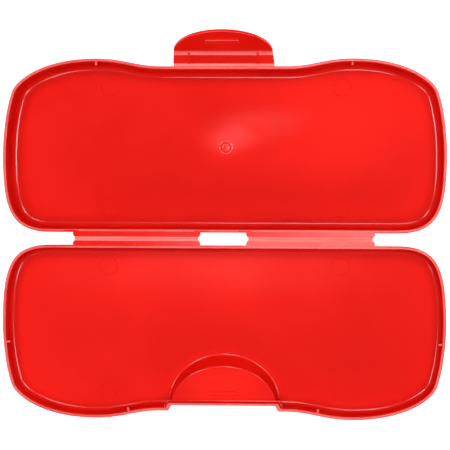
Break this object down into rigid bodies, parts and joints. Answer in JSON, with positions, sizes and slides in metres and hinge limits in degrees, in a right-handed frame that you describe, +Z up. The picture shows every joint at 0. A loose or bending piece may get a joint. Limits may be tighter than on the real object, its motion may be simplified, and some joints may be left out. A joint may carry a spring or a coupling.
{
  "type": "pencil case",
  "caption": "Shallow moulded plastic pencil case lying open, with a living-hinged lid and a fold-over latch flap.",
  "frame": {"origin": "middle of the flat underside of the base tray", "axes": "+X along the hinge, +Y from the hinge towards the latch, +Z up"},
  "size_m": [0.2, 0.174, 0.0337],
  "materials": {
    "moulded_red": "opaque red polypropylene, fine spark-eroded grain on the floors, satin walls",
    "satin_red": "opaque red polypropylene, smooth satin",
    "film_red": "thin red polypropylene film, paler where it is stretched"
  },
  "bodies": {
    "base": {"base_tray": "moulded_red", "base_hinge_leaf_left": "satin_red", "base_hinge_leaf_right": "satin_red", "base_locating_rib_left": "moulded_red", "base_locating_rib_right": "moulded_red", "hinge_web_left": "film_red", "hinge_web_right": "film_red", "latch_root_web": "film_red"},
    "lid": {"lid_tray": "moulded_red", "lid_hinge_leaf_left": "satin_red", "lid_hinge_leaf_right": "satin_red", "lid_locating_rib_front_left": "moulded_red", "lid_locating_rib_front_right": "moulded_red", "lid_locating_rib_side_left": "moulded_red", "lid_locating_rib_side_right": "moulded_red"},
    "latch_bridge": {"latch_bridge": "satin_red", "latch_bridge_rib_left": "satin_red", "latch_bridge_rib_right": "satin_red", "latch_knee_web": "film_red"},
    "latch_tongue": {"latch_tongue": "satin_red", "latch_catch_bar": "satin_red"}
  },
  "joints": [
    {"name": "lid_hinge", "type": "hinge", "parent": "base", "child": "lid", "pos_m": [0, -0.04205, 0.01515], "axis": [-1, 0, 0], "range_deg": [0, 182.58], "deforming": ["hinge_web_left", "hinge_web_right"]},
    {"name": "latch_root", "type": "hinge", "parent": "base", "child": "latch_bridge", "pos_m": [0, 0.0364, 0.01385], "axis": [1, 0, 0], "range_deg": [-64, 46], "stiffness_Nm_per_rad": 0.004, "deforming": ["latch_root_web"]},
    {"name": "latch_knee", "type": "hinge", "parent": "latch_bridge", "child": "latch_tongue", "pos_m": [0, 0.04237, 0.01962], "axis": [1, 0, 0], "range_deg": [-34.5, 75.5], "stiffness_Nm_per_rad": 0.004, "deforming": ["latch_knee_web"]}
  ]
}
